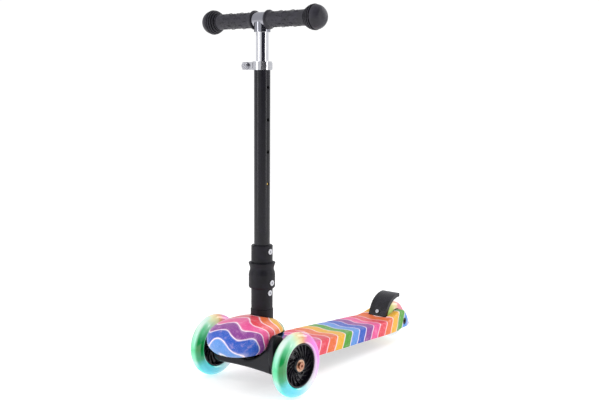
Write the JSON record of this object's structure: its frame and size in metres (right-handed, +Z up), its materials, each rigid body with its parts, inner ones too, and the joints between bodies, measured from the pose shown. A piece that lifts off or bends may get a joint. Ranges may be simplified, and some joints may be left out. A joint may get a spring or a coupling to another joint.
{
  "type": "kick scooter",
  "caption": "Folding kick scooter for small children, with two lean-steered front wheels, a rear brake wheel and a height-adjustable T-bar.",
  "frame": {"origin": "on the floor, under the middle of the bounding box", "axes": "+Z up, -Y forward, +X to the rider's left"},
  "size_m": [0.2888, 0.6046, 0.7068],
  "materials": {
    "printed_shell": "satin rainbow print on nylon",
    "black_nylon": "fine moulded grain",
    "light_tyre": "clear cast polyurethane, lit from inside",
    "lamp_ring": "clear lamp carrier",
    "bearing_bronze": "bronze shield",
    "zinc_steel": "zinc plated",
    "black_tube": "satin black powder coat",
    "polished_clamp": "polished",
    "chrome_tube": "bright chrome",
    "grip_rubber": "matte",
    "brass": "turned"
  },
  "bodies": {
    "chassis": {"deck_shell": "printed_shell", "deck_underplate": "black_nylon", "deck_screws": "zinc_steel", "front_cover": "printed_shell", "steering_head": "black_nylon", "kingpin_bolt": "zinc_steel", "kingpin_washers": "zinc_steel", "kingpin_nut": "zinc_steel", "centering_springs": "zinc_steel", "stem_base_collar": "black_nylon", "lower_knuckle": "black_nylon", "fold_bolt": "zinc_steel", "fold_nut": "zinc_steel", "stem_bolt": "zinc_steel", "rear_axle_bolt": "zinc_steel", "rear_axle_nut": "zinc_steel", "rear_spacers": "zinc_steel", "rear_magnet_core": "zinc_steel", "brake_pin": "zinc_steel", "brake_spring": "zinc_steel"},
    "steering_truck": {"truck_beam": "black_nylon", "truck_bush": "bearing_bronze", "front_axle_bolts": "zinc_steel", "wheel_spacers": "zinc_steel", "front_magnet_cores": "zinc_steel"},
    "left_wheel": {"left_tyre": "light_tyre", "left_hub": "black_nylon", "left_bearings": "bearing_bronze", "left_light_ring": "lamp_ring"},
    "right_wheel": {"right_tyre": "light_tyre", "right_hub": "black_nylon", "right_bearings": "bearing_bronze", "right_light_ring": "lamp_ring"},
    "rear_wheel": {"rear_tyre": "light_tyre", "rear_hub": "black_nylon", "rear_bearings": "bearing_bronze", "rear_light_ring": "lamp_ring"},
    "brake": {"brake_fender": "black_nylon", "brake_screw": "zinc_steel", "brake_wear_plate": "zinc_steel"},
    "stem": {"upper_knuckle": "black_nylon", "tube_screw": "zinc_steel", "lock_spring": "zinc_steel", "stem_tube": "black_tube", "tube_bushing": "black_nylon", "clamp_collar": "polished_clamp", "clamp_bolt": "zinc_steel", "clamp_nut": "zinc_steel", "clamp_pin": "zinc_steel"},
    "sleeve": {"lock_sleeve": "black_nylon", "sleeve_screw": "zinc_steel"},
    "lever": {"clamp_lever": "polished_clamp"},
    "t_bar": {"inner_tube": "chrome_tube", "tube_plug": "black_nylon", "crossbar": "chrome_tube", "handlebar_saddle": "chrome_tube", "left_grip": "grip_rubber", "right_grip": "grip_rubber", "button_spring": "zinc_steel"},
    "button": {"snap_button": "brass"}
  },
  "joints": [
    {"name": "steer_lean", "type": "hinge", "parent": "chassis", "child": "steering_truck", "pos_m": [0, -0.202, 0.058], "axis": [0, -0.6428, 0.766], "range_deg": [-13, 13], "stiffness_Nm_per_rad": 12, "deforming": ["centering_springs"]},
    {"name": "left_wheel_spin", "type": "hinge", "parent": "steering_truck", "child": "left_wheel", "pos_m": [0.104, -0.202, 0.06], "axis": [1, 0, 0], "continuous": true},
    {"name": "right_wheel_spin", "type": "hinge", "parent": "steering_truck", "child": "right_wheel", "pos_m": [-0.104, -0.202, 0.06], "axis": [1, 0, 0], "continuous": true},
    {"name": "rear_wheel_spin", "type": "hinge", "parent": "chassis", "child": "rear_wheel", "pos_m": [0, 0.2623, 0.04], "axis": [1, 0, 0], "continuous": true},
    {"name": "brake_press", "type": "hinge", "parent": "chassis", "child": "brake", "pos_m": [0, 0.21, 0.049], "axis": [-1, 0, 0], "range_deg": [0, 14], "stiffness_Nm_per_rad": 0.6, "springref_deg": -11.46, "deforming": ["brake_spring"]},
    {"name": "stem_fold", "type": "hinge", "parent": "chassis", "child": "stem", "pos_m": [0, -0.1795, 0.1769], "axis": [-1, 0, 0], "range_deg": [0, 90]},
    {"name": "sleeve_lift", "type": "slide", "parent": "stem", "child": "sleeve", "axis": [0, 0, 1], "range_m": [0, 0.016], "deforming": ["lock_spring"]},
    {"name": "bar_height", "type": "slide", "parent": "stem", "child": "t_bar", "axis": [0, 0, 1], "range_m": [0, 0.1785]},
    {"name": "button_pop", "type": "slide", "parent": "t_bar", "child": "button", "axis": [1, 0, 0], "range_m": [0, 0.0025]},
    {"name": "clamp_lever_open", "type": "hinge", "parent": "stem", "child": "lever", "pos_m": [-0.033, -0.164, 0.601], "axis": [0, 0, 1], "range_deg": [0, 150]}
  ],
  "couplings": [
    {"joint": "sleeve_lift", "follows": "stem_fold", "m_per_rad": 0.01}
  ]
}
